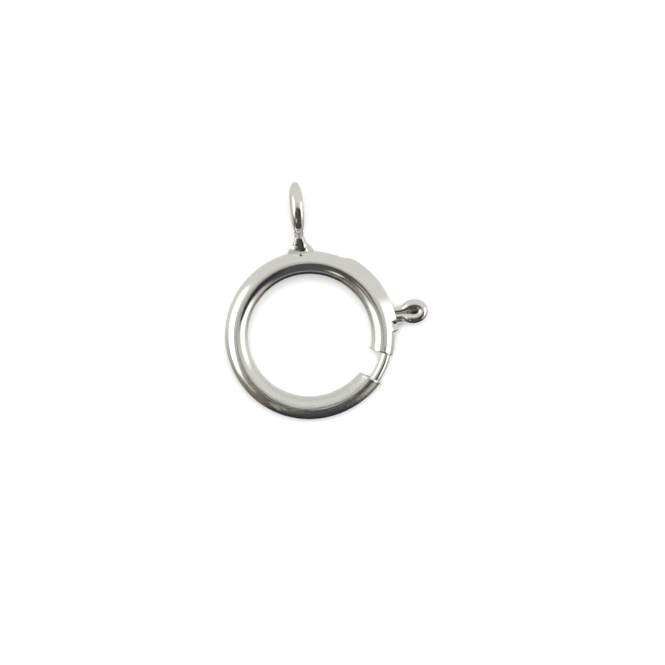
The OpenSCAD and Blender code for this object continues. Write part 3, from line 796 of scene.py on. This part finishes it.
class CLASP_OT_end_loop(Operator):
    """Add the end loop of tapered wire that stands through the lug's eye"""

    bl_idname = "clasp.end_loop"
    bl_label = "End Loop"

    def execute(self, context):
        m = context.scene.clasp_moving
        lay = Layout()
        skin = self.skin(m)
        arm = np.array([0, m.loop_out - m.loop_thin, 0])
        eye = np.array([0, lay.outer_r + context.scene.clasp_ring.lug_reach, 0])
        skin = (skin + arm) @ turn_z(m.loop_swing).T + eye
        loop = new_piece("end_loop_wire", skin, wire_silver(), "body", close_rows=True)
        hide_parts("end_loop")
        return {"FINISHED"}

    def skin(self, m):
        """Skin of the wire round the loop's own centre: rings of points about a circle, a little squarer than
        round by the law x^2.5 + y^2.5 = 1. Their radius swells from the eye to the sides by
        (1 + k) s^2 / (s^2 + k), with s the sine of the angle from the eye and k the spread. Points move
        level, away from the eye, by the egg shape's size times the square of their height's share of the
        loop."""
        a = np.linspace(0, 2 * np.pi, 160, endpoint=False)
        swell = (1 + m.loop_spread) * np.sin(a) ** 2 / (np.sin(a) ** 2 + m.loop_spread)
        wire_r = m.loop_thin + (m.loop_thick - m.loop_thin) * swell
        out = np.stack([0 * a, -np.cos(a), np.sin(a)], axis=1)
        k = np.linspace(0, 2 * np.pi, 64, endpoint=False)
        upright, aside = (np.sign(c) * np.abs(c) ** 0.8 for c in (np.cos(k), np.sin(k)))
        ring = upright[None, :, None] * out[:, None] + aside[None, :, None] * np.array([1.0, 0, 0])
        skin = ((m.loop_out - wire_r)[:, None] * out)[:, None] + wire_r[:, None, None] * ring
        level = RESTING_TURN.T @ np.array([0.0, 1.0, 0.0])
        return skin + m.loop_egg * (skin[..., 2:] / m.loop_out) ** 2 * level


# Studio

# The camera's roll about the view, and its distance and field at the clasp, in metres
CAMERA_ROLL = math.radians(6.1)
CAMERA_DISTANCE = 0.4
CAMERA_FIELD = 0.0710
# Where the ring's centre stands left of and below the picture's middle, in metres
RING_LEFT = 0.00247
RING_BELOW = 0.00029
PICTURE_RIGHT = Vector((math.cos(CAMERA_ROLL), -math.sin(CAMERA_ROLL), 0))
PICTURE_UP = Vector((math.sin(CAMERA_ROLL), math.cos(CAMERA_ROLL), 0))


class CLASP_OT_studio(Operator):
    """Add the white table, the light tent and the camera that looks straight down"""

    bl_idname = "clasp.studio"
    bl_label = "Studio"

    def execute(self, context):
        context.scene.view_settings.view_transform = "Standard"
        self.table()
        self.light_tent(context.scene)
        self.overhead_light()
        self.camera(context.scene)
        return {"FINISHED"}

    def table(self):
        """A wide white table top at z = 0, which the silver mirrors as part of the tent."""
        half = 1.5
        mesh = bpy.data.meshes.new("table_top")
        corners = [(-half, -half, 0), (half, -half, 0), (half, half, 0), (-half, half, 0)]
        mesh.from_pydata(corners, [], [(0, 1, 2, 3)])
        table = bpy.data.objects.new("table_top", mesh)
        bpy.context.scene.collection.objects.link(table)
        material = bpy.data.materials.new("white_laminate")
        material.use_nodes = True
        surface = material.node_tree.nodes["Principled BSDF"]
        surface.inputs["Base Color"].default_value = (*finish().table, 1)
        surface.inputs["Roughness"].default_value = 0.9
        surface.inputs["Specular IOR Level"].default_value = 0.0
        mesh.materials.append(material)
        table.visible_glossy = False

    def towards(self, azimuth):
        """Direction along the table, by its angle in the picture from the picture's right."""
        a = math.radians(azimuth)
        return math.cos(a) * PICTURE_RIGHT + math.sin(a) * PICTURE_UP

    def patch(self, tree, ray, down, azimuth, low, half_width, half_height, soft):
        """Share from 0 outside to 1 inside of a patch of the tent, a rectangle with rounded corners by the
        law x^4 + y^4 = 1. It stands at an angle in the picture and an angle down from straight above, and its
        edge is blurred by the share soft of its size."""
        forward = add_node(tree, "ShaderNodeVectorMath", {
            0: ray, 1: self.towards(azimuth)}, operation="DOT_PRODUCT")
        aside = add_node(tree, "ShaderNodeVectorMath", {
            0: ray, 1: self.towards(azimuth + 90)}, operation="DOT_PRODUCT")
        turn = add_node(tree, "ShaderNodeMath", {
            0: aside.outputs["Value"], 1: forward.outputs["Value"]}, operation="ARCTAN2")
        x = add_node(tree, "ShaderNodeMath", {
            0: turn.outputs["Value"], 1: math.radians(half_width)}, operation="DIVIDE")
        lower = add_node(tree, "ShaderNodeMath", {0: down, 1: math.radians(low)}, operation="SUBTRACT")
        y = add_node(tree, "ShaderNodeMath", {
            0: lower.outputs["Value"], 1: math.radians(half_height)}, operation="DIVIDE")
        at = add_node(tree, "ShaderNodeCombineXYZ", {"X": x.outputs["Value"], "Y": y.outputs["Value"]})
        squared = add_node(tree, "ShaderNodeVectorMath", {
            0: at.outputs["Vector"], 1: at.outputs["Vector"]}, operation="MULTIPLY")
        away = add_node(tree, "ShaderNodeVectorMath", {0: squared.outputs["Vector"]}, operation="LENGTH")
        return add_node(tree, "ShaderNodeMapRange", {
            "Value": away.outputs["Value"], "From Min": (1 + soft) ** 2, "From Max": (1 - soft) ** 2},
            interpolation_type="SMOOTHSTEP").outputs["Result"]

    def over(self, tree, share, below, above):
        """Colour that shows one over another by a share."""
        mix = add_node(tree, "ShaderNodeMixRGB", {"Fac": share, "Color1": below, "Color2": above})
        return mix.outputs["Color"]

    def light_tent(self, scene):
        """What the silver mirrors: pale tent walls with grey cards at their edges, a white panel on either
        side, the grey of the camera above, and through the tent's open front the dark room, with warmer
        things at its sides, a dark corner and a small bright window. The camera itself sees plain white."""
        look = finish()
        world = bpy.data.worlds.new("light_tent")
        scene.world = world
        world.use_nodes = True
        tree = world.node_tree
        tree.nodes.clear()
        ray = add_node(tree, "ShaderNodeTexCoord").outputs["Generated"]
        height = add_node(tree, "ShaderNodeSeparateXYZ", {"Vector": ray}).outputs["Z"]
        down = add_node(tree, "ShaderNodeMath", {0: height}, operation="ARCCOSINE").outputs["Value"]
        back = add_node(tree, "ShaderNodeVectorMath", {0: ray, 1: PICTURE_UP}, operation="DOT_PRODUCT")
        high = add_node(tree, "ShaderNodeMapRange", {
            "Value": back.outputs["Value"], "From Min": -0.55, "From Max": 0.1})
        low = add_node(tree, "ShaderNodeMapRange", {
            "Value": down, "From Min": math.radians(76), "From Max": math.radians(108)})
        room = self.over(tree, low.outputs["Result"], (*look.room, 1), (*look.room_low, 1))
        tent = self.over(tree, high.outputs["Result"], (*look.floor, 1), (*look.tent, 1))
        card = (*look.card, 1)
        white = (1.4, 1.4, 1.38, 1)
        window = (1.1, 1.0, 0.8, 1)
        # The angles are in degrees, and later patches lie over earlier ones
        for azimuth, middle, half_width, half_height, soft, shade in (
                (90, 0, 720, 10, 0.6, (*look.lens, 1)),
                (275, 105, 53, 94, 0.06, (*look.room_warm, 1)),
                (277, 105, 36, 94, 0.08, room),
                (320, 86, 12, 20, 0.30, card),
                (224, 60, 9, 11, 0.40, card),
                (351, 68, 26, 26, 0.16, white),
                (316, 38, 21, 16, 0.12, (*look.room_low, 1)),
                (182, 57, 36, 30, 0.16, white),
                (253, 62, 5, 8, 0.35, window),
                (238, 28, 9, 3, 0.50, card)):
            share = self.patch(tree, ray, down, azimuth, middle, half_width, half_height, soft)
            tent = self.over(tree, share, tent, shade)
        seen = add_node(tree, "ShaderNodeLightPath").outputs["Is Camera Ray"]
        shown = self.over(tree, seen, tent, (1, 1, 1, 1))
        light = add_node(tree, "ShaderNodeBackground", {"Color": shown, "Strength": 1.0})
        add_node(tree, "ShaderNodeOutputWorld", {"Surface": light.outputs["Background"]})

    def overhead_light(self):
        """A wide soft light overhead that whitens the table, and that the silver doesn't mirror."""
        data = bpy.data.lights.new("overhead_softbox", "AREA")
        data.shape = "DISK"
        data.size = 0.5
        data.energy = 3.2
        lamp = bpy.data.objects.new("overhead_softbox", data)
        lamp.location = (0.02, 0.06, 0.6)
        lamp.rotation_euler = (-lamp.location).to_track_quat("-Z", "Y").to_euler()
        lamp.visible_glossy = False
        lamp.visible_camera = False
        bpy.context.scene.collection.objects.link(lamp)

    def camera(self, scene):
        """The camera straight above, rolled so that the lug points a little left of the picture's top."""
        aim = Vector(ring_centre()) + RING_LEFT * PICTURE_RIGHT + RING_BELOW * PICTURE_UP
        data = bpy.data.cameras.new("camera")
        data.sensor_width = 36.0
        data.lens = data.sensor_width * CAMERA_DISTANCE / CAMERA_FIELD
        data.clip_start = 0.01
        data.clip_end = 10
        camera = bpy.data.objects.new("camera", data)
        axes = Matrix((PICTURE_RIGHT, PICTURE_UP, Vector((0, 0, 1)))).transposed().to_4x4()
        camera.matrix_world = Matrix.Translation(aim + Vector((0, 0, CAMERA_DISTANCE))) @ axes
        scene.collection.objects.link(camera)
        scene.camera = camera


class CLASP_PT_sidebar(Panel):
    """Buttons that build the clasp's pieces"""

    bl_idname = "CLASP_PT_sidebar"
    bl_label = "Spring Ring Clasp"
    bl_space_type = "VIEW_3D"
    bl_region_type = "UI"
    bl_category = "Clasp"

    def draw(self, context):
        for step in BUILD_STEPS:
            self.layout.operator(step.bl_idname)


BUILD_STEPS = (
    CLASP_OT_ring_tube, CLASP_OT_lug, CLASP_OT_stop_tongue, CLASP_OT_spring_seat, CLASP_OT_bolt,
    CLASP_OT_trigger, CLASP_OT_spring, CLASP_OT_end_loop, CLASP_OT_studio)
CLASSES = (RingSizes, MovingSizes, ClaspFinish, *BUILD_STEPS, CLASP_PT_sidebar)


def register():
    """Registers the classes and hangs the sizes and colours on the scene."""
    for cls in CLASSES:
        bpy.utils.register_class(cls)
    bpy.types.Scene.clasp_ring = PointerProperty(type=RingSizes)
    bpy.types.Scene.clasp_moving = PointerProperty(type=MovingSizes)
    bpy.types.Scene.clasp_finish = PointerProperty(type=ClaspFinish)


def unregister():
    """Takes them off the scene and unregisters the classes."""
    del bpy.types.Scene.clasp_finish
    del bpy.types.Scene.clasp_moving
    del bpy.types.Scene.clasp_ring
    for cls in reversed(CLASSES):
        bpy.utils.unregister_class(cls)


def main():
    """Builds every piece in order."""
    register()
    for step in BUILD_STEPS:
        group, name = step.bl_idname.split(".")
        getattr(getattr(bpy.ops, group), name)()


if __name__ == "__main__":
    main()
